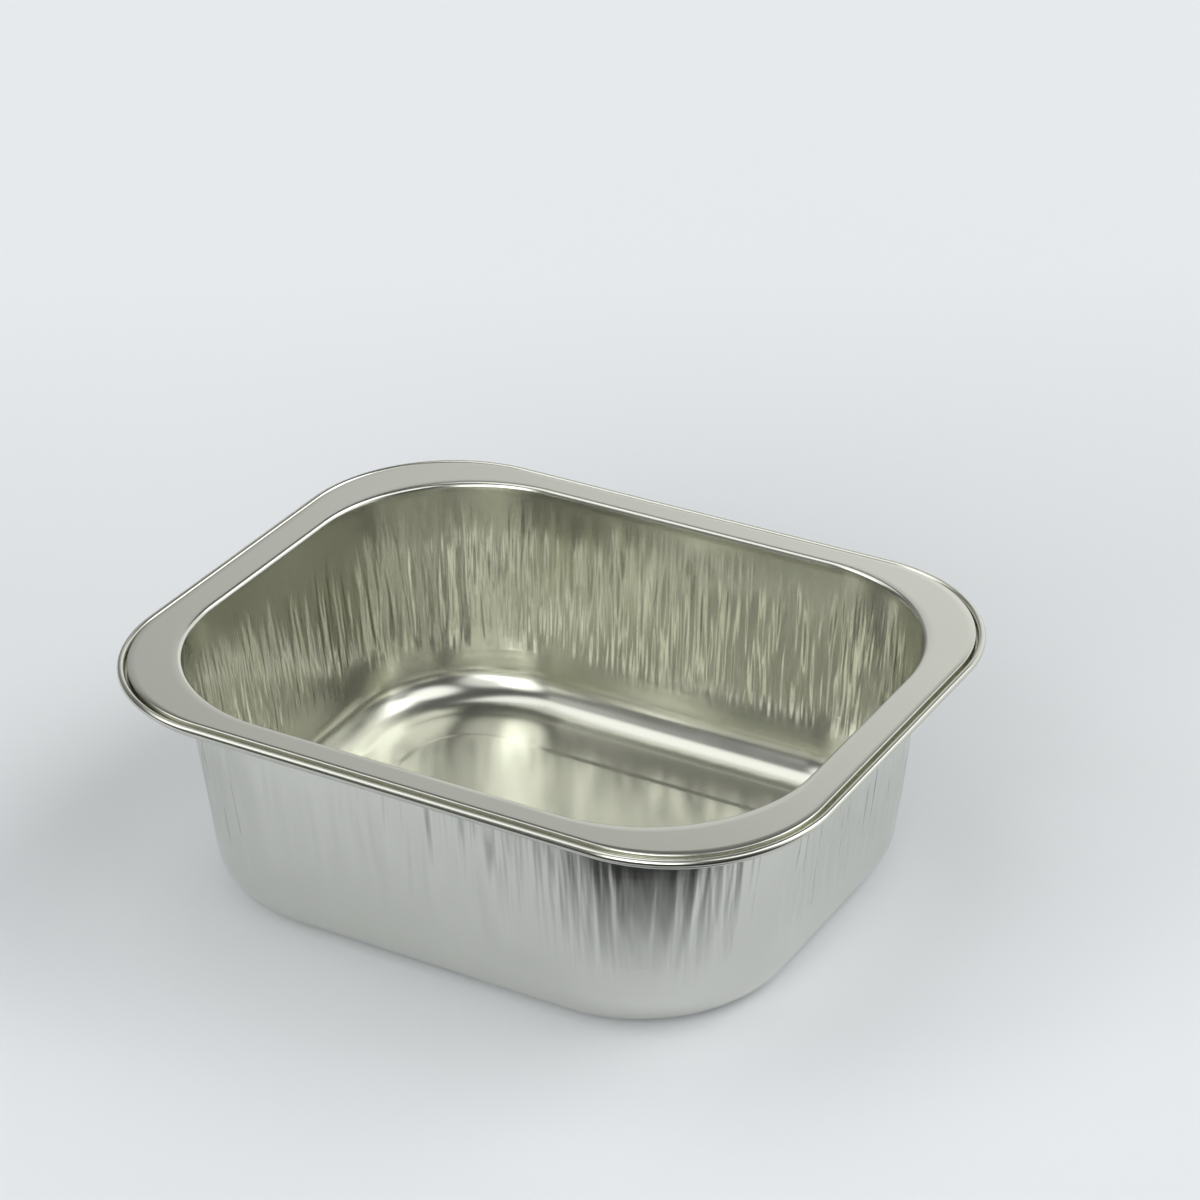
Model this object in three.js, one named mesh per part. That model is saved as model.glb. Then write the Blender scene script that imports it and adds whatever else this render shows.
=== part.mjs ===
// A smooth-wall foil tray: a deep-drawn aluminium shell with a tinted film laminated to its food side.
// Millimetres, +Z up. The origin is the middle of the base, on the plane that the tray stands on.
// The food side is the reference surface, and each layer of the sheet lies at a depth below it.

import * as THREE from 'three';

// Opening, where the wall lines meet the level of the flange
const OPENING_LENGTH = 131.4;
const OPENING_WIDTH = 106.5;
const OPENING_CORNER_RADIUS = 33.4;

// Overall height, and how far each part of the wall leans out on its way up
const TRAY_HEIGHT = 48.4;
const END_DRAFT_DEG = 6.2;
const SIDE_DRAFT_DEG = 4.2;
const CORNER_DRAFT_DEG = 6.05;

// Base: the fillet to the wall, and a panel raised inside the ring that the tray stands on
const BASE_FILLET_RADIUS = 8.1;
const PANEL_MARGIN_END = 7;
const PANEL_MARGIN_SIDE = 9.7;
const PANEL_CORNER_RADIUS = 15;
const PANEL_RISE = 0.12;
const PANEL_STEP_RUN = 0.6;

// Flange: the bend out of the wall, and the breadth from the opening line to the drop
const BEND_RADIUS = 1.5;
const FLANGE_BREADTH_END = 7.3;
const FLANGE_BREADTH_SIDE = 6.15;
const FLANGE_BREADTH_CORNER = 10.7;

// Rim: a rolled edge, a drop into a narrow groove, and a curled bead that stands up out of the groove
const EDGE_ROLL_RADIUS = 0.55;
const GROOVE_RADIUS = 0.25;
const GROOVE_DEPTH = 2.2;
const BEAD_RADIUS = 0.6;
const BEAD_TOP_DROP = 0.4;
const BEAD_TURN_DEG = 290;

// Layers of the sheet, from the food side down
const FILM_THICKNESS = 0.06;
const ADHESIVE_GAP = 0.02;
const FOIL_THICKNESS = 0.15;

// Fineness of the faceted surface
const CORNER_STEPS = 7;
const FILLET_STEPS = 6;
const BEND_STEPS = 4;
const ROLL_STEPS = 3;
const GROOVE_STEPS = 3;
const BEAD_STEPS = 9;

// A corner never takes up the whole of a side
const SHORTEST_STRAIGHT = 1;

const { degToRad, lerp } = THREE.MathUtils;
const QUARTER_TURN = Math.PI / 2;
const DIAGONAL = Math.SQRT2;

const sheetThickness = FILM_THICKNESS + ADHESIVE_GAP + FOIL_THICKNESS;
const ringLevel = sheetThickness;
const meanDraft = degToRad((END_DRAFT_DEG + SIDE_DRAFT_DEG) / 2);

// A plan is a rounded rectangle, held as its half sizes and its corner radius
function plan(halfLength, halfWidth, radius) {
  const largest = Math.min(halfLength, halfWidth) - SHORTEST_STRAIGHT / 2;
  return { halfLength, halfWidth, radius: Math.min(radius, largest) };
}

function grown(base, outset) {
  return plan(base.halfLength + outset, base.halfWidth + outset, base.radius + outset);
}

// The corner radius that moves the middle of a corner by a given distance along the diagonal
function radiusForDiagonal(radius, endMove, sideMove, diagonalMove) {
  const meanMove = (endMove + sideMove) / 2;
  return radius + (DIAGONAL * meanMove - diagonalMove) / (DIAGONAL - 1);
}

function planMoved(base, endMove, sideMove, diagonalMove) {
  const radius = radiusForDiagonal(base.radius, endMove, sideMove, diagonalMove);
  return plan(base.halfLength + endMove, base.halfWidth + sideMove, radius);
}

const openingPlan = plan(OPENING_LENGTH / 2, OPENING_WIDTH / 2, OPENING_CORNER_RADIUS);
const footPlan = planMoved(
  openingPlan,
  -TRAY_HEIGHT * Math.tan(degToRad(END_DRAFT_DEG)),
  -TRAY_HEIGHT * Math.tan(degToRad(SIDE_DRAFT_DEG)),
  -TRAY_HEIGHT * Math.tan(degToRad(CORNER_DRAFT_DEG)),
);
const dropPlan = planMoved(
  openingPlan,
  FLANGE_BREADTH_END,
  FLANGE_BREADTH_SIDE,
  FLANGE_BREADTH_CORNER,
);

function wallPlanAt(z) {
  const share = z / TRAY_HEIGHT;
  return plan(
    lerp(footPlan.halfLength, openingPlan.halfLength, share),
    lerp(footPlan.halfWidth, openingPlan.halfWidth, share),
    lerp(footPlan.radius, openingPlan.radius, share),
  );
}

// Angles from start to end in equal steps, both ends included
function anglesBetween(start, end, steps) {
  return Array.from({ length: steps + 1 }, (_, step) => lerp(start, end, step / steps));
}

// A station is a plan at a height: one ring of the food-side surface
function filletStations() {
  const centreZ = ringLevel + BASE_FILLET_RADIUS;
  return anglesBetween(0, QUARTER_TURN - meanDraft, FILLET_STEPS).map((angle) => {
    const z = centreZ - BASE_FILLET_RADIUS * Math.cos(angle);
    const reach = BASE_FILLET_RADIUS * (1 / Math.cos(meanDraft) - Math.sin(angle));
    const inset = (z - centreZ) * Math.tan(meanDraft) + reach;
    return { ...grown(wallPlanAt(z), -inset), z };
  });
}

function bendStations() {
  const centreZ = TRAY_HEIGHT - BEND_RADIUS;
  return anglesBetween(meanDraft, QUARTER_TURN, BEND_STEPS).map((angle) => {
    const z = centreZ + BEND_RADIUS * Math.sin(angle);
    const reach = BEND_RADIUS * (1 / Math.cos(meanDraft) - Math.cos(angle));
    const outset = reach - (z - centreZ) * Math.tan(meanDraft);
    return { ...grown(wallPlanAt(z), outset), z };
  });
}

function panelStations(ringPlan) {
  const stepFoot = plan(
    ringPlan.halfLength - PANEL_MARGIN_END,
    ringPlan.halfWidth - PANEL_MARGIN_SIDE,
    PANEL_CORNER_RADIUS,
  );
  return [
    { ...grown(stepFoot, -PANEL_STEP_RUN), z: ringLevel + PANEL_RISE },
    { ...stepFoot, z: ringLevel },
  ];
}

function rimStations() {
  const rollZ = TRAY_HEIGHT - EDGE_ROLL_RADIUS;
  const grooveZ = TRAY_HEIGHT - GROOVE_DEPTH + GROOVE_RADIUS;
  const beadZ = TRAY_HEIGHT - BEAD_TOP_DROP - BEAD_RADIUS;
  const beadOutset = 2 * GROOVE_RADIUS + BEAD_RADIUS;
  const beadEnd = degToRad(BEAD_TURN_DEG) - QUARTER_TURN;
  const roll = anglesBetween(0, QUARTER_TURN, ROLL_STEPS).map((angle) => ({
    ...grown(dropPlan, EDGE_ROLL_RADIUS * (Math.sin(angle) - 1)),
    z: rollZ + EDGE_ROLL_RADIUS * Math.cos(angle),
  }));
  const groove = anglesBetween(0, Math.PI, GROOVE_STEPS).map((angle) => ({
    ...grown(dropPlan, GROOVE_RADIUS * (1 - Math.cos(angle))),
    z: grooveZ - GROOVE_RADIUS * Math.sin(angle),
  }));
  const bead = anglesBetween(-QUARTER_TURN, beadEnd, BEAD_STEPS).map((angle) => ({
    ...grown(dropPlan, beadOutset + BEAD_RADIUS * Math.sin(angle)),
    z: beadZ + BEAD_RADIUS * Math.cos(angle),
  }));
  return [...roll, ...groove, ...bead];
}

function foodSideStations() {
  const fillet = filletStations();
  return [...panelStations(fillet[0]), ...fillet, ...bendStations(), ...rimStations()];
}

// Unit normal of the stretch between two stations, on the food side of the section
function stretchNormal(from, to) {
  const out = (to.halfLength + to.halfWidth - from.halfLength - from.halfWidth) / 2;
  return new THREE.Vector2(-(to.z - from.z), out).normalize();
}

// The move at each station that shifts both stretches beside it by one unit of depth
function depthMoves(stations) {
  const level = new THREE.Vector2(0, 1);
  const normals = stations.slice(1).map((station, i) => stretchNormal(stations[i], station));
  return stations.map((_, i) => {
    const before = normals[i - 1] ?? level;
    const after = normals[i] ?? before;
    return before.clone().add(after).divideScalar(1 + before.dot(after));
  });
}

// The ring of points round a plan, anticlockwise from above
function ringPoints(base, z) {
  const points = [];
  for (let corner = 0; corner < 4; corner += 1) {
    const start = corner * QUARTER_TURN;
    const middle = start + QUARTER_TURN / 2;
    const x = Math.sign(Math.cos(middle)) * (base.halfLength - base.radius);
    const y = Math.sign(Math.sin(middle)) * (base.halfWidth - base.radius);
    for (const angle of anglesBetween(start, start + QUARTER_TURN, CORNER_STEPS)) {
      points.push([x + base.radius * Math.cos(angle), y + base.radius * Math.sin(angle), z]);
    }
  }
  return points;
}

function surfaceRings(stations, depth) {
  const moves = depthMoves(stations);
  return stations.map((station, i) =>
    ringPoints(grown(station, -depth * moves[i].x), station.z - depth * moves[i].y),
  );
}

// The closed solid between two depths: out along the upper face and back along the lower one
function layerGeometry(stations, upperDepth, lowerDepth) {
  const rings = [
    ...surfaceRings(stations, upperDepth),
    ...surfaceRings(stations, lowerDepth).reverse(),
  ];
  const sides = rings[0].length;
  const lastRing = rings.length - 1;
  const upperMiddle = rings.length * sides;
  const lowerMiddle = upperMiddle + 1;
  const points = rings.flat();
  points.push([0, 0, stations[0].z - upperDepth], [0, 0, stations[0].z - lowerDepth]);

  const faces = [];
  for (let side = 0; side < sides; side += 1) {
    const next = (side + 1) % sides;
    faces.push(upperMiddle, side, next);
    faces.push(lowerMiddle, lastRing * sides + next, lastRing * sides + side);
    for (let ring = 0; ring < lastRing; ring += 1) {
      const inner = ring * sides;
      const outer = inner + sides;
      faces.push(inner + side, outer + side, outer + next);
      faces.push(inner + side, outer + next, inner + next);
    }
  }
  const geometry = new THREE.BufferGeometry();
  geometry.setAttribute('position', new THREE.Float32BufferAttribute(points.flat(), 3));
  geometry.setIndex(faces);
  geometry.computeVertexNormals();
  return geometry;
}

function namedMesh(name, geometry, material) {
  const mesh = new THREE.Mesh(geometry, new THREE.MeshStandardMaterial(material));
  mesh.name = name;
  return mesh;
}

const BARE_ALUMINIUM = { color: 0xb7bab6, roughness: 0.34, metalness: 1 };
const TINTED_FILM = { color: 0xb9b79f, roughness: 0.28, metalness: 0.9 };

const stations = foodSideStations();
const foilTopDepth = FILM_THICKNESS + ADHESIVE_GAP;

const tray = new THREE.Group();
tray.name = 'foil_tray';
tray.add(
  namedMesh('tray_shell', layerGeometry(stations, foilTopDepth, sheetThickness), BARE_ALUMINIUM),
  namedMesh('food_side_film', layerGeometry(stations, 0, FILM_THICKNESS), TINTED_FILM),
);

export default tray;
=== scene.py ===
"""A smooth-wall foil tray: drawn aluminium with a tinted film on its food side, in plain studio light."""

from functools import partial
from math import cos, pi, radians, sin, sqrt, tan

import bpy
import numpy as np
from mathutils import Matrix, Vector


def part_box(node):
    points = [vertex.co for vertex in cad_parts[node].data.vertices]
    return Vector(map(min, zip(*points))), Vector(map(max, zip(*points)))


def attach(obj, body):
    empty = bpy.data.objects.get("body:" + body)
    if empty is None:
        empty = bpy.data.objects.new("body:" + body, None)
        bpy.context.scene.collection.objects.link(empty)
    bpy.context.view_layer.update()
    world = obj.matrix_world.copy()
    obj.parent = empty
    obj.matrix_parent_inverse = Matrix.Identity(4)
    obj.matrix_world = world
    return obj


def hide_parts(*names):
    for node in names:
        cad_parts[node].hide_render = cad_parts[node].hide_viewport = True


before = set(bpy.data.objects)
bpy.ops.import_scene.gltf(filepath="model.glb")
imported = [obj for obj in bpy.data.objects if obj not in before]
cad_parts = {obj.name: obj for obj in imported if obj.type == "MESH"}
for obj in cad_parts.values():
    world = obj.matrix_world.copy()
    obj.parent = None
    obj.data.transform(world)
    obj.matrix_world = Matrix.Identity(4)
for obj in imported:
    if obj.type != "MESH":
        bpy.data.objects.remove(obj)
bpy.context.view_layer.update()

MM = 0.001

# The section of the sheet, in millimetres: the opening, the lean of the walls, the base and its raised panel
OPENING_LENGTH, OPENING_WIDTH, OPENING_CORNER = 131.4, 106.5, 33.4
END_DRAFT, SIDE_DRAFT, CORNER_DRAFT = radians(6.2), radians(4.2), radians(6.05)
BASE_FILLET = 8.1
PANEL_MARGIN_END, PANEL_MARGIN_SIDE, PANEL_CORNER = 7.0, 9.7, 15.0
PANEL_RISE, PANEL_STEP_RUN = 0.12, 0.6

# The flange and its rim: a rolled edge, a narrow groove, and a curled bead that stands up out of it
WALL_BEND = 0.9
FLANGE_END, FLANGE_SIDE, FLANGE_CORNER = 7.06, 5.91, 10.46
EDGE_ROLL = 0.25
GROOVE, GROOVE_DEPTH = 0.22, 2.5
BEAD, BEAD_TOP_DROP, BEAD_TURN = 0.75, 0.18, radians(290)

# The layers of the sheet, from the food side down
FILM, ADHESIVE, FOIL = 0.06, 0.02, 0.15

TRAY_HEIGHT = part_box("food_side_film")[1].z / MM
SHEET = FILM + ADHESIVE + FOIL
MEAN_DRAFT = (END_DRAFT + SIDE_DRAFT) / 2

# Points round the tray, the shares of each quarter of the way round at which its corner starts and ends,
# and the distance within which two points become one
POINTS_AROUND = 860
CORNER_START, CORNER_END = 0.25, 0.75
PERIMETER = 2 * (OPENING_LENGTH + OPENING_WIDTH) - (8 - 2 * pi) * OPENING_CORNER
MERGE_WITHIN = 0.001

# Rings along the section. The seen side of a layer has more of them up the wall than the side in the sheet.
SEEN_WALL_RINGS, HIDDEN_WALL_RINGS = 24, 8
FILLET_RINGS, BEND_RINGS = 11, 6
ROLL_RINGS, GROOVE_RINGS, BEAD_RINGS = 4, 4, 10
FLANGE_SHARES = (0.15, 0.85)

# A ring this far from each side of the panel's step keeps the shading of its crease narrow
STEP_EASE = 0.6

# The heights between which the drawing wrinkles fade in and out
WRINKLES_FROM, WRINKLES_FULL, WRINKLES_FADE, WRINKLES_TO = 9.5, 16.0, 35.0, 47.0

# Drawing wrinkles spread evenly round the wall: folds that bulge outwards and finer creases that sink in.
# Width, reach above and below the middle, and height of the middle are the least and the most of each set.
WRINKLE_SETS = (
    dict(creases=84, seed=11, depth=0.32, dent=0.2, lean=0.12,
         width=(0.8, 1.3), reach=(14, 27), middle=(20, 34)),
    dict(creases=120, seed=47, depth=-0.2, dent=0.0, lean=0.08,
         width=(0.55, 0.9), reach=(11, 23), middle=(18, 36)),
)

# The shallowest crease's share of the full depth, and the share of its reach at which a crease starts to fade
SHALLOWEST, FADE_FROM = 0.3, 0.3

# Slow dents between the creases: their spacing, and how much slower they change up the wall
DENT_SPACING, DENT_UPRIGHT = 11.0, 0.4

# Spacing of the clouds of tone and gloss, and of the draw lines. On real foil the lines are too fine to show,
# so they are drawn this coarse, and they change slowly up the wall.
CLOUD_SPACING, LINE_SPACING, LINE_UPRIGHT = 18.0, 1.5, 0.015


def srgb(code):
    """A hex colour as linear red, green, blue and full alpha."""
    parts = [int(code[i:i + 2], 16) / 255 for i in (1, 3, 5)]
    return [c / 12.92 if c <= 0.04045 else ((c + 0.055) / 1.055) ** 2.4 for c in parts] + [1.0]


def add_node(tree, kind, inputs=(), **settings):
    """Adds a node with its settings and inputs, in order or by name, and returns its first output in use."""
    node = tree.nodes.new(kind)
    for name, value in settings.items():
        setattr(node, name, value)
    for key, value in inputs.items() if isinstance(inputs, dict) else enumerate(inputs):
        by_name = (s for s in node.inputs if s.name == key and s.enabled)
        socket = next(by_name) if isinstance(key, str) else node.inputs[key]
        if isinstance(value, bpy.types.NodeSocket):
            tree.links.new(value, socket)
        else:
            socket.default_value = value
    return next((s for s in node.outputs if s.enabled), node)


def smooth_step(values, low, high):
    share = np.clip((values - low) / (high - low), 0, 1)
    return share * share * (3 - 2 * share)


# The section of the sheet: rounded rectangles (half length, half width, corner radius) at a height

def grown(plan, outset):
    return tuple(size + outset for size in plan)


def moved(plan, end, side, diagonal):
    """A plan with its ends, sides and corner middles moved outwards by their own distances."""
    half_length, half_width, radius = plan
    turn = (sqrt(2) * (end + side) / 2 - diagonal) / (sqrt(2) - 1)
    return half_length + end, half_width + side, radius + turn


OPENING = (OPENING_LENGTH / 2, OPENING_WIDTH / 2, OPENING_CORNER)
FOOT = moved(OPENING, *(-TRAY_HEIGHT * tan(lean) for lean in (END_DRAFT, SIDE_DRAFT, CORNER_DRAFT)))
RIM_DROP = moved(OPENING, FLANGE_END, FLANGE_SIDE, FLANGE_CORNER)


def wall_plan(z):
    return tuple(low + (high - low) * z / TRAY_HEIGHT for low, high in zip(FOOT, OPENING))


def fillet_rings():
    centre = SHEET + BASE_FILLET
    for angle in np.linspace(0, pi / 2 - MEAN_DRAFT, FILLET_RINGS):
        z = centre - BASE_FILLET * cos(angle)
        inset = (z - centre) * tan(MEAN_DRAFT) + BASE_FILLET * (1 / cos(MEAN_DRAFT) - sin(angle))
        yield *grown(wall_plan(z), -inset), z


def bend_rings():
    centre = TRAY_HEIGHT - WALL_BEND
    for angle in np.linspace(MEAN_DRAFT, pi / 2, BEND_RINGS):
        z = centre + WALL_BEND * sin(angle)
        outset = WALL_BEND * (1 / cos(MEAN_DRAFT) - cos(angle)) - (z - centre) * tan(MEAN_DRAFT)
        yield *grown(wall_plan(z), outset), z


def rim_rings():
    """The rolled edge of the flange, the groove below it and the bead that curls out of the groove."""
    roll_z = TRAY_HEIGHT - EDGE_ROLL
    groove_z = TRAY_HEIGHT - GROOVE_DEPTH + GROOVE
    bead_z, bead_out = TRAY_HEIGHT - BEAD_TOP_DROP - BEAD, 2 * GROOVE + BEAD
    for angle in np.linspace(0, pi / 2, ROLL_RINGS):
        yield *grown(RIM_DROP, EDGE_ROLL * (sin(angle) - 1)), roll_z + EDGE_ROLL * cos(angle)
    for angle in np.linspace(0, pi, GROOVE_RINGS):
        yield *grown(RIM_DROP, GROOVE * (1 - cos(angle))), groove_z - GROOVE * sin(angle)
    for angle in np.linspace(-pi / 2, BEAD_TURN - pi / 2, BEAD_RINGS):
        yield *grown(RIM_DROP, bead_out + BEAD * sin(angle)), bead_z + BEAD * cos(angle)


def between(start, end, shares):
    return [tuple(a + (b - a) * share for a, b in zip(start, end)) for share in shares]


def food_side(wall_rings):
    """The rings of the food side, from the base panel out to the cut edge of the curled bead."""
    fillet, bend, rim = list(fillet_rings()), list(bend_rings()), list(rim_rings())
    step_foot = (fillet[0][0] - PANEL_MARGIN_END, fillet[0][1] - PANEL_MARGIN_SIDE, PANEL_CORNER)
    panel = [
        (*grown(step_foot, -PANEL_STEP_RUN - STEP_EASE), SHEET + PANEL_RISE),
        (*grown(step_foot, -PANEL_STEP_RUN), SHEET + PANEL_RISE),
        (*step_foot, SHEET),
        (*grown(step_foot, STEP_EASE), SHEET),
    ]
    wall = between(fillet[-1], bend[0], np.linspace(0, 1, wall_rings + 2)[1:-1])
    flange = between(bend[-1], rim[0], FLANGE_SHARES)
    return np.array(panel + fillet + wall + bend + flange + rim)


def at_depth(rings, depth):
    """The rings moved down into the sheet, square to the section."""
    out = (rings[:, 0] + rings[:, 1]) / 2
    stretch = np.column_stack([-np.diff(rings[:, 3]), np.diff(out)])
    stretch /= np.linalg.norm(stretch, axis=1)[:, None]
    before = np.vstack([[0, 1], stretch])
    after = np.vstack([stretch, stretch[-1]])
    move = (before + after) / (1 + np.sum(before * after, axis=1))[:, None]
    return rings - depth * move[:, [0, 0, 0, 1]]


def layer_section(upper, upper_rings, lower, lower_rings):
    """The closed section of one layer of the sheet: out along its top and back along its underside."""
    top = at_depth(food_side(upper_rings), upper)
    under = at_depth(food_side(lower_rings), lower)[::-1]
    middle_top, middle_under = [[0, 0, 0, top[0, 3]]], [[0, 0, 0, under[-1, 3]]]
    return np.vstack([middle_top, top, under, middle_under])


# Geometry Nodes: a grid stretched over the section, and the wrinkles pressed into it

def new_tree(name, sockets):
    """An empty tree with geometry in and out, a material, and named inputs for its sizes."""
    tree = bpy.data.node_groups.new(name, "GeometryNodeTree")
    tree.is_modifier = True
    tree.interface.new_socket("Geometry", in_out="OUTPUT", socket_type="NodeSocketGeometry")
    for kind, labels in {"Geometry": ["Geometry"], "Material": ["Material"], **sockets}.items():
        for label in labels:
            tree.interface.new_socket(label, in_out="INPUT", socket_type="NodeSocket" + kind)
    return tree, partial(add_node, tree), tree.nodes.new("NodeGroupInput").outputs


def end_tree(add, geometry, material):
    real = add("GeometryNodeRealizeInstances", [geometry])
    add("NodeGroupOutput", [add("GeometryNodeSetMaterial", {"Geometry": real, "Material": material})])


def place_round(add, around, given):
    """Each quarter of the way round is half a side, a corner, and half of the next side."""
    quarters = add("ShaderNodeMath", [around, 4.0], operation="MULTIPLY")
    quarter = add("ShaderNodeMath", [quarters], operation="FLOOR")
    along = add("ShaderNodeMath", [quarters, quarter], operation="SUBTRACT")
    first_half = add("ShaderNodeMapRange", {"Value": along, "From Max": given["Corner start"]})
    second_half = add("ShaderNodeMapRange", {
        "Value": along, "From Min": given["Corner end"], "To Min": 1.0, "To Max": 0.0})
    into_corner = add("ShaderNodeMapRange", {
        "Value": along, "From Min": given["Corner start"], "From Max": given["Corner end"]})
    quarter_angle = add("ShaderNodeMath", [quarter, pi / 2], operation="MULTIPLY")
    corner_angle = add("ShaderNodeMath", [into_corner, pi / 2, quarter_angle], operation="MULTIPLY_ADD")
    corner_side = add("ShaderNodeVectorRotate", {
        "Vector": add("ShaderNodeCombineXYZ", [second_half, first_half, 1.0]),
        "Angle": quarter_angle}, rotation_type="Z_AXIS")
    outward = add("ShaderNodeVectorRotate", {
        "Vector": (1.0, 0.0, 0.0), "Angle": corner_angle}, rotation_type="Z_AXIS")
    return corner_side, outward


def ring_of_row(add, section, row):
    """A row's half length, half width and height as one vector, its corner radius and its press share."""
    fields = [(add("GeometryNodeInputPosition"), "FLOAT_VECTOR")]
    for label in ("corner radius", "press share"):
        fields.append((add("GeometryNodeInputNamedAttribute", [label], data_type="FLOAT"), "FLOAT"))
    return [add("GeometryNodeSampleIndex", {"Geometry": section, "Value": field, "Index": row},
                data_type=data_type, domain="POINT") for field, data_type in fields]


def loft_tree():
    """Columns of the grid go round the tray and rows follow the section, ring by ring."""
    tree, add, given = new_tree("loft round the tray", {
        "Int": ["Points around"], "Float": ["Corner start", "Corner end", "Merge within"]})
    section = given["Geometry"]
    rows = add("GeometryNodeAttributeDomainSize", [section], component="MESH")
    columns = add("ShaderNodeMath", [given["Points around"], 1.0], operation="ADD")
    grid = add("GeometryNodeMeshGrid", {"Vertices X": columns, "Vertices Y": rows})
    place = add("ShaderNodeSeparateXYZ", [grid.node.outputs["UV Map"]]).node.outputs
    last_row = add("ShaderNodeMath", [rows, 1.0], operation="SUBTRACT")
    row = add("ShaderNodeMath", [place["Y"], last_row], operation="MULTIPLY")
    row = add("FunctionNodeFloatToInt", [row], rounding_mode="ROUND")

    # The corner's centre, and from there outwards by the corner's radius
    corner_side, outward = place_round(add, place["X"], given)
    half_sizes, radius, press = ring_of_row(add, section, row)
    corner_room = add("ShaderNodeCombineXYZ", [radius, radius])
    corner_reach = add("ShaderNodeVectorMath", [half_sizes, corner_room], operation="SUBTRACT")
    corner_centre = add("ShaderNodeVectorMath", [corner_reach, corner_side], operation="MULTIPLY")
    reach = add("ShaderNodeVectorMath", {"Vector": outward, "Scale": radius}, operation="SCALE")
    spot = add("ShaderNodeVectorMath", [corner_centre, reach], operation="ADD")

    sheet = grid
    for label, value, data_type in (("around", place["X"], "FLOAT"), ("press", press, "FLOAT"),
                                    ("outward", outward, "FLOAT_VECTOR")):
        sheet = add("GeometryNodeStoreNamedAttribute", {
            "Geometry": sheet, "Name": label, "Value": value}, data_type=data_type, domain="POINT")
    sheet = add("GeometryNodeSetPosition", {"Geometry": sheet, "Position": spot})
    sheet = add("GeometryNodeMergeByDistance", {"Geometry": sheet, "Distance": given["Merge within"]})
    sheet = add("GeometryNodeFlipFaces", [sheet])
    end_tree(add, add("GeometryNodeSetShadeSmooth", [sheet]), given["Material"])
    return tree


def crease_draws(add, given, crease):
    """The random values of one crease, each drawn with a seed of its own."""
    limits = {
        "shift": (0.0, 1.0), "depth": (SHALLOWEST, 1.0), "lean": (-1.0, 1.0),
        "middle": (given["Lowest middle"], given["Highest middle"]),
        "width": (given["Least width"], given["Most width"]),
        "reach": (given["Least reach"], given["Most reach"]),
    }
    own = {}
    for step, (label, (low, high)) in enumerate(limits.items()):
        seed = add("ShaderNodeMath", [given["Seed"], float(step)], operation="ADD")
        own[label] = add("FunctionNodeRandomValue", {
            "Min": low, "Max": high, "ID": crease, "Seed": seed}, data_type="FLOAT")
    return own


def crease_form(add, given, own, crease):
    """The share of its depth that a crease has at each point: a bell across it that fades at both ends."""
    place = add("ShaderNodeMath", [crease, own["shift"]], operation="ADD")
    place = add("ShaderNodeMath", [place, given["Creases"]], operation="DIVIDE")
    around = add("GeometryNodeInputNamedAttribute", ["around"], data_type="FLOAT")
    beside = add("ShaderNodeMath", [around, place], operation="SUBTRACT")
    beside = add("ShaderNodeMath", [beside, 0.5, -0.5], operation="WRAP")
    beside = add("ShaderNodeMath", [beside, given["Perimeter"]], operation="MULTIPLY")
    height = add("ShaderNodeSeparateXYZ", [add("GeometryNodeInputPosition")]).node.outputs["Z"]
    rise = add("ShaderNodeMath", [height, own["middle"]], operation="SUBTRACT")
    lean = add("ShaderNodeMath", [own["lean"], given["Lean"]], operation="MULTIPLY")
    drift = add("ShaderNodeMath", [lean, rise], operation="MULTIPLY")
    beside = add("ShaderNodeMath", [beside, drift], operation="SUBTRACT")

    across = add("ShaderNodeMath", [beside, own["width"]], operation="DIVIDE")
    bell = add("ShaderNodeMath", [across, across], operation="MULTIPLY")
    bell = add("ShaderNodeMath", [bell, -1.0], operation="MULTIPLY")
    bell = add("ShaderNodeMath", [bell], operation="EXPONENT")
    along = add("ShaderNodeMath", [rise, own["reach"]], operation="DIVIDE")
    along = add("ShaderNodeMath", [along], operation="ABSOLUTE")
    fade = add("ShaderNodeMapRange", [along, FADE_FROM, 1.0, 1.0, 0.0], interpolation_type="SMOOTHSTEP")
    return add("ShaderNodeMath", [bell, fade], operation="MULTIPLY")


def slow_dents(add, given):
    """Slow upright dents, as a value about nought."""
    upright = (1.0, 1.0, DENT_UPRIGHT)
    place = add("ShaderNodeVectorMath", [add("GeometryNodeInputPosition"), upright], operation="MULTIPLY")
    dents_per_metre = add("ShaderNodeMath", [1.0, given["Dent spacing"]], operation="DIVIDE")
    dents = add("ShaderNodeTexNoise", {"Vector": place, "Scale": dents_per_metre, "Detail": 1.0})
    return add("ShaderNodeMath", [dents, 0.5], operation="SUBTRACT")


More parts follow.
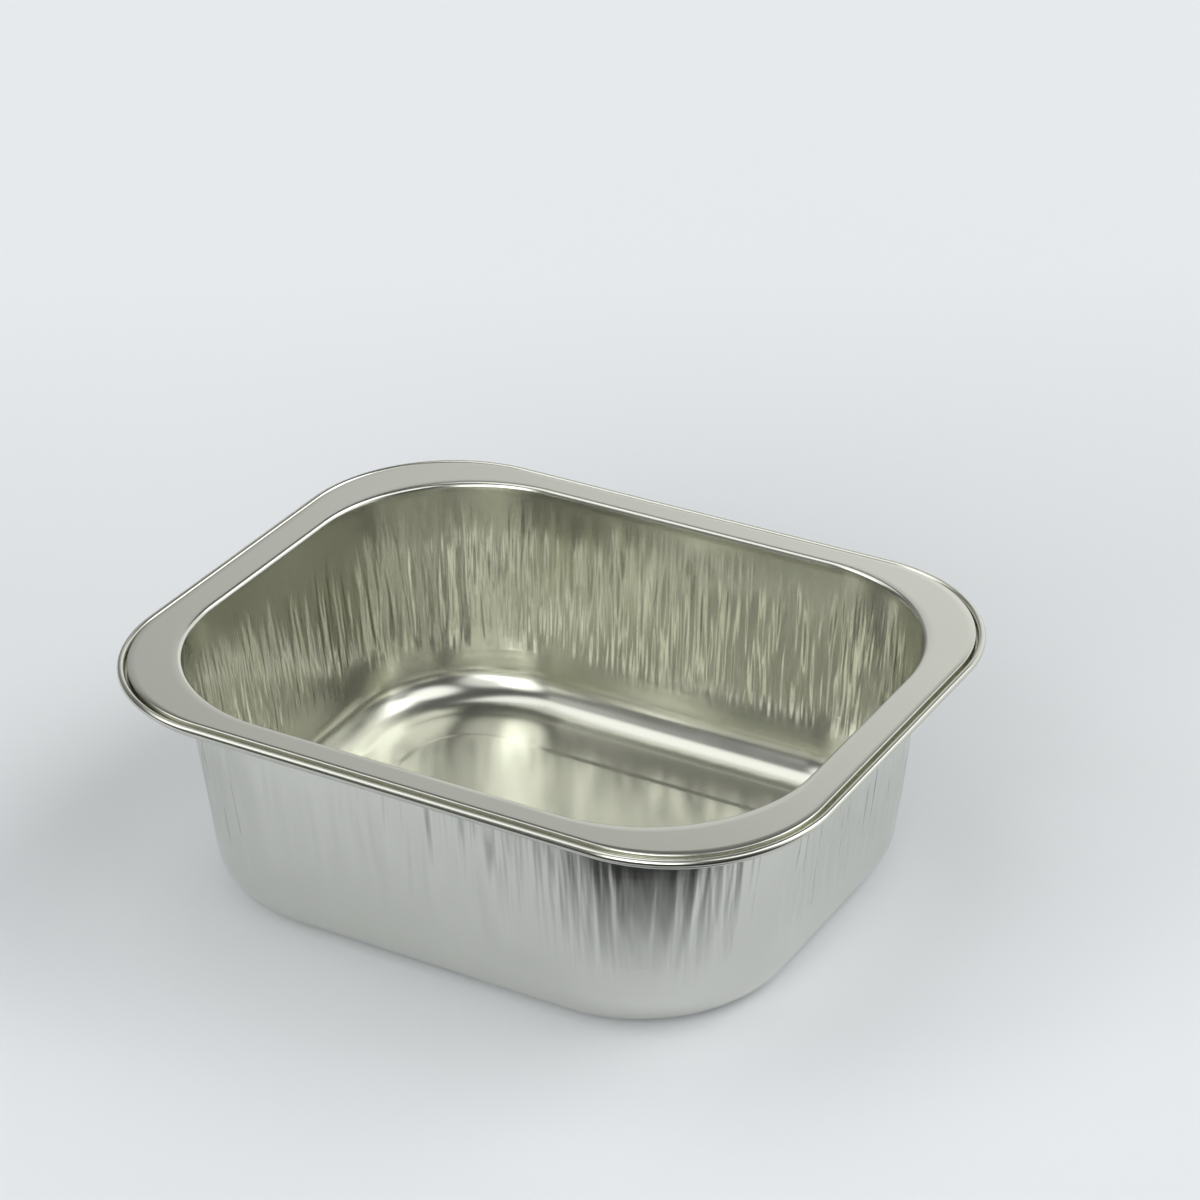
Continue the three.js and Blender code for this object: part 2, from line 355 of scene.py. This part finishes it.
def wrinkle_tree():
    """Each pass of the repeat zone adds one upright crease, and then the wall is pressed by their sum."""
    tree, add, given = new_tree("press drawing wrinkles", {
        "Int": ["Creases", "Seed"],
        "Float": ["Perimeter", "Depth", "Least width", "Most width", "Least reach", "Most reach",
                  "Lowest middle", "Highest middle", "Lean", "Dent", "Dent spacing"]})
    smooth = add("GeometryNodeStoreNamedAttribute", {
        "Geometry": given["Geometry"], "Name": "pressed", "Value": 0.0}, data_type="FLOAT", domain="POINT")
    start = tree.nodes.new("GeometryNodeRepeatInput")
    end = tree.nodes.new("GeometryNodeRepeatOutput")
    start.pair_with_output(end)
    tree.links.new(given["Creases"], start.inputs["Iterations"])
    tree.links.new(smooth, start.inputs["Geometry"])

    crease = start.outputs["Iteration"]
    own = crease_draws(add, given, crease)
    depth = add("ShaderNodeMath", [own["depth"], given["Depth"]], operation="MULTIPLY")
    pressed = add("GeometryNodeInputNamedAttribute", ["pressed"], data_type="FLOAT")
    sum_so_far = add("ShaderNodeMath", [crease_form(add, given, own, crease), depth, pressed],
                     operation="MULTIPLY_ADD")
    wrinkled = add("GeometryNodeStoreNamedAttribute", {
        "Geometry": start.outputs["Geometry"], "Name": "pressed", "Value": sum_so_far},
        data_type="FLOAT", domain="POINT")
    tree.links.new(wrinkled, end.inputs["Geometry"])

    move = add("ShaderNodeMath", [slow_dents(add, given), given["Dent"], pressed], operation="MULTIPLY_ADD")
    press = add("GeometryNodeInputNamedAttribute", ["press"], data_type="FLOAT")
    move = add("ShaderNodeMath", [move, press], operation="MULTIPLY")
    outward = add("GeometryNodeInputNamedAttribute", ["outward"], data_type="FLOAT_VECTOR")
    offset = add("ShaderNodeVectorMath", {"Vector": outward, "Scale": move}, operation="SCALE")
    end_tree(add, add("GeometryNodeSetPosition", {
        "Geometry": end.outputs["Geometry"], "Offset": offset}), given["Material"])
    return tree


def add_modifier(piece, tree, **values):
    """A Geometry Nodes modifier with its inputs filled by their identifiers."""
    modifier = piece.modifiers.new(tree.name, "NODES")
    modifier.node_group = tree
    for socket in tree.interface.items_tree:
        label = socket.name.lower().replace(" ", "_")
        if socket.in_out == "INPUT" and label in values:
            modifier[socket.identifier] = values[label]


def section_mesh(name, section):
    """One point for each ring of the section, holding what the loft needs."""
    mesh = bpy.data.meshes.new(name)
    mesh.vertices.add(len(section))
    mesh.vertices.foreach_set("co", (section[:, [0, 1, 3]] * MM).ravel())
    heights = section[:, 3]
    press = smooth_step(heights, WRINKLES_FROM, WRINKLES_FULL)
    press *= 1 - smooth_step(heights, WRINKLES_FADE, WRINKLES_TO)
    for label, values in (("corner radius", section[:, 2] * MM), ("press share", press)):
        mesh.attributes.new(label, "FLOAT", "POINT").data.foreach_set("value", values)
    return mesh


def sheet_layer(name, section, material):
    """One layer of the pressed sheet as a plain closed mesh."""
    piece = bpy.data.objects.new(name, section_mesh(name, section))
    bpy.context.scene.collection.objects.link(piece)
    add_modifier(piece, LOFT, material=material, points_around=POINTS_AROUND,
                 corner_start=CORNER_START, corner_end=CORNER_END, merge_within=MERGE_WITHIN * MM)
    for wrinkles in WRINKLE_SETS:
        (thin, wide), (short, tall), (low, high) = (wrinkles[key] for key in ("width", "reach", "middle"))
        add_modifier(
            piece, WRINKLES, material=material, creases=wrinkles["creases"], seed=wrinkles["seed"],
            lean=wrinkles["lean"], perimeter=PERIMETER * MM,
            depth=wrinkles["depth"] * MM, dent=wrinkles["dent"] * MM, dent_spacing=DENT_SPACING * MM,
            least_width=thin * MM, most_width=wide * MM, least_reach=short * MM, most_reach=tall * MM,
            lowest_middle=low * MM, highest_middle=high * MM)
    evaluated = piece.evaluated_get(bpy.context.evaluated_depsgraph_get())
    mesh = bpy.data.meshes.new_from_object(evaluated)
    piece.modifiers.clear()
    piece.data = mesh
    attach(piece, "root")
    return piece


# Materials

def sheet_material(name, tones, roughness, line_depth):
    """Drawn sheet metal: clouded tone and gloss, with upright draw lines where the wall was pressed."""
    material = bpy.data.materials.new(name)
    material.use_nodes = True
    tree = material.node_tree
    add, shader = partial(add_node, tree), tree.nodes["Principled BSDF"]
    place = add("ShaderNodeTexCoord").node.outputs["Object"]
    cloud = add("ShaderNodeTexNoise", {"Vector": place, "Scale": 1 / (CLOUD_SPACING * MM), "Detail": 3.0})
    dark, light = (srgb(tone) for tone in tones)
    tone = add("ShaderNodeMix", {"Factor": cloud, "A": dark, "B": light}, data_type="RGBA")
    satin = add("ShaderNodeMapRange", {"Value": cloud, "To Min": roughness[0], "To Max": roughness[1]})
    upright = add("ShaderNodeMapping", {"Vector": place, "Scale": (1.0, 1.0, LINE_UPRIGHT)})
    lines = add("ShaderNodeTexNoise", {"Vector": upright, "Scale": 1 / (LINE_SPACING * MM), "Detail": 1.0})
    press = add("ShaderNodeAttribute", attribute_name="press").node.outputs["Fac"]
    lines = add("ShaderNodeMath", [lines, press], operation="MULTIPLY")
    relief = add("ShaderNodeBump", {"Height": lines, "Strength": 1.0, "Distance": line_depth * MM})
    for value, socket in ((tone, "Base Color"), (satin, "Roughness"), (relief, "Normal")):
        tree.links.new(value, shader.inputs[socket])
    shader.inputs["Metallic"].default_value = 1.0
    return material


LOFT, WRINKLES = loft_tree(), wrinkle_tree()

# Clear tinted film bonded to bright foil: a satin mirror, slightly warm and green
film = sheet_layer(
    "tinted_film", layer_section(0, SEEN_WALL_RINGS, FILM, HIDDEN_WALL_RINGS),
    sheet_material("laminated film over aluminium", tones=("#cfd0c5", "#d6d6cb"),
                   roughness=(0.17, 0.23), line_depth=0.46))
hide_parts("food_side_film")

# Soft rolled aluminium after drawing: a neutral satin metal, a little brighter than the film
shell = sheet_layer(
    "foil_shell", layer_section(FILM + ADHESIVE, HIDDEN_WALL_RINGS, SHEET, SEEN_WALL_RINGS),
    sheet_material("drawn aluminium foil", tones=("#d5d6d0", "#dcddd7"),
                   roughness=(0.13, 0.18), line_depth=0.32))
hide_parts("tray_shell")


# Studio, in metres: a pale floor just below the tray's foot, with painted shade round the tray and a painted
# dark reflection in front, both laid along the direction of view

FLOOR_HALF, FLOOR_DROP = 4.0, 0.03 * MM
VIEW_AWAY = (-0.505, 0.863, 0.0)
# The paper's colour, the colour of its painted shade round the tray, and the painted dark reflection that
# only the metal sees in front
PAPER, PAINTED_SHADE_PAPER, PAINTED_DARK_REFLECTION = "#e7e9eb", "#dcdfe0", "#202020"
PAINTED_SHADE_FROM_NEAR, PAINTED_SHADE_FROM_FAR = (-0.07, 0.03), (0.28, 0.11)
PAINTED_REFLECTION_FADE = (-0.066, -0.112)

# Light: a paper sweep behind the tray, up to a height, dark above it and shaded on the left, and a dim room
SWEEP, DARK_ABOVE, ROOM = 1.03, 0.13, 0.1
SWEEP_EDGE = (0.54, 0.585)
LEFT_SHADE, LEFT_EDGE = 0.27, (-0.76, -0.34)
BEHIND_EDGE = (-0.2, 0.3)
LIGHT_COLOUR = "#fdfeff"

# Soft panels of light: azimuth, height, half angle and soft edge in degrees, and radiance
PANELS = {
    "left soft box": (173, 65, 20, 7, 1.35),
    "right soft box": (36, 44, 14, 6, 2.4),
    "back right box": (56, 42, 10, 6, 1.8),
    "right upper box": (-10, 52, 12, 8, 1.5),
    "front window": (-96, 38, 9, 8, 1.9),
    "front left window": (-149, 38, 9, 8, 2.2),
    "front side window": (-70, 34, 16, 9, 0.9),
    "front fill": (-80, 8, 20, 10, 2.9),
}

# The camera: its place, lens and sensor in millimetres, and the nearest distance it sees in metres
VIEWPOINT = (324.4, -536.5, 403.2)
VIEW_RIGHT, VIEW_UP = (0.8666, 0.4988, -0.0127), (-0.2315, 0.4245, 0.8754)
LENS, SENSOR = 112.4, 36.0
CLIP_START = 0.01


def paper_material():
    """Matt paper: pale, with painted shade round the tray, and a painted dark reflection close in front that
    only the metal's reflections see.
    """
    material = bpy.data.materials.new("matt studio paper")
    material.use_nodes = True
    tree = material.node_tree
    add, shader = partial(add_node, tree), tree.nodes["Principled BSDF"]
    place = add("ShaderNodeTexCoord").node.outputs["Object"]
    away = add("ShaderNodeVectorMath", [place, VIEW_AWAY], operation="DOT_PRODUCT").node.outputs["Value"]
    nearer = add("ShaderNodeMapRange", [away, *PAINTED_SHADE_FROM_NEAR])
    farther = add("ShaderNodeMapRange", [away, *PAINTED_SHADE_FROM_FAR])
    # Painted shade: the paper darkens in a band across the view round the tray, standing in for the tray's
    # soft shadow
    dim = add("ShaderNodeMath", [nearer, farther], operation="MULTIPLY")
    paper = add("ShaderNodeMix", {"Factor": dim, "A": srgb(PAPER), "B": srgb(PAINTED_SHADE_PAPER)}, data_type="RGBA")
    # Painted dark reflection: close in front the paper turns dark, but only for rays mirrored off the metal,
    # so the camera sees it pale
    front = add("ShaderNodeMapRange", [away, *PAINTED_REFLECTION_FADE], interpolation_type="SMOOTHSTEP")
    mirrored = add("ShaderNodeLightPath").node.outputs["Is Glossy Ray"]
    front = add("ShaderNodeMath", [front, mirrored], operation="MULTIPLY")
    colour = add("ShaderNodeMix", {"Factor": front, "A": paper, "B": srgb(PAINTED_DARK_REFLECTION)}, data_type="RGBA")
    tree.links.new(colour, shader.inputs["Base Color"])
    shader.inputs["Roughness"].default_value = 0.9
    shader.inputs["Specular IOR Level"].default_value = 0.2
    return material


def floor():
    mesh = bpy.data.meshes.new("floor")
    corners = ((-1, -1), (1, -1), (1, 1), (-1, 1))
    mesh.from_pydata([(x * FLOOR_HALF, y * FLOOR_HALF, -FLOOR_DROP) for x, y in corners], [], [(0, 1, 2, 3)])
    mesh.materials.append(paper_material())
    ground = bpy.data.objects.new("floor", mesh)
    bpy.context.scene.collection.objects.link(ground)


def studio_world():
    """The lit sweep low behind the tray, the darker room above and around it, and the soft panels."""
    world = bpy.data.worlds.new("studio")
    world.use_nodes = True
    tree = world.node_tree
    add, background = partial(add_node, tree), tree.nodes["Background"]
    towards = add("ShaderNodeTexCoord").node.outputs["Generated"]
    part = add("ShaderNodeSeparateXYZ", [towards]).node.outputs
    sweep = add("ShaderNodeMapRange", [part["Z"], *SWEEP_EDGE, SWEEP, DARK_ABOVE],
                interpolation_type="SMOOTHSTEP")
    leftward = add("ShaderNodeMapRange", [part["X"], *LEFT_EDGE, LEFT_SHADE, 1.0])
    sweep = add("ShaderNodeMath", [sweep, leftward], operation="MULTIPLY")
    behind = add("ShaderNodeMapRange", [part["Y"], *BEHIND_EDGE], interpolation_type="SMOOTHSTEP")
    level = add("ShaderNodeMix", {"Factor": behind, "A": ROOM, "B": sweep}, data_type="FLOAT")
    for *angles, radiance in PANELS.values():
        azimuth, height, half_angle, edge = (radians(angle) for angle in angles)
        spot = Vector((cos(azimuth) * cos(height), sin(azimuth) * cos(height), sin(height)))
        facing = add("ShaderNodeVectorMath", [towards, spot], operation="DOT_PRODUCT").node.outputs["Value"]
        shine = add("ShaderNodeMapRange", [facing, cos(half_angle + edge), cos(half_angle), 0.0, radiance],
                    interpolation_type="SMOOTHSTEP")
        level = add("ShaderNodeMath", [level, shine], operation="ADD")
    tree.links.new(level, background.inputs["Strength"])
    background.inputs["Color"].default_value = srgb(LIGHT_COLOUR)
    bpy.context.scene.world = world


def camera():
    """A long lens, right of the front and above the rim."""
    data = bpy.data.cameras.new("camera")
    data.lens, data.sensor_width, data.clip_start = LENS, SENSOR, CLIP_START
    viewer = bpy.data.objects.new("camera", data)
    right, up = Vector(VIEW_RIGHT), Vector(VIEW_UP)
    turn = Matrix((right, up, right.cross(up).normalized())).transposed().to_4x4()
    viewer.matrix_world = Matrix.Translation(Vector(VIEWPOINT) * MM) @ turn
    bpy.context.scene.collection.objects.link(viewer)
    bpy.context.scene.camera = viewer


floor()
studio_world()
camera()
bpy.context.scene.view_settings.view_transform = "Standard"
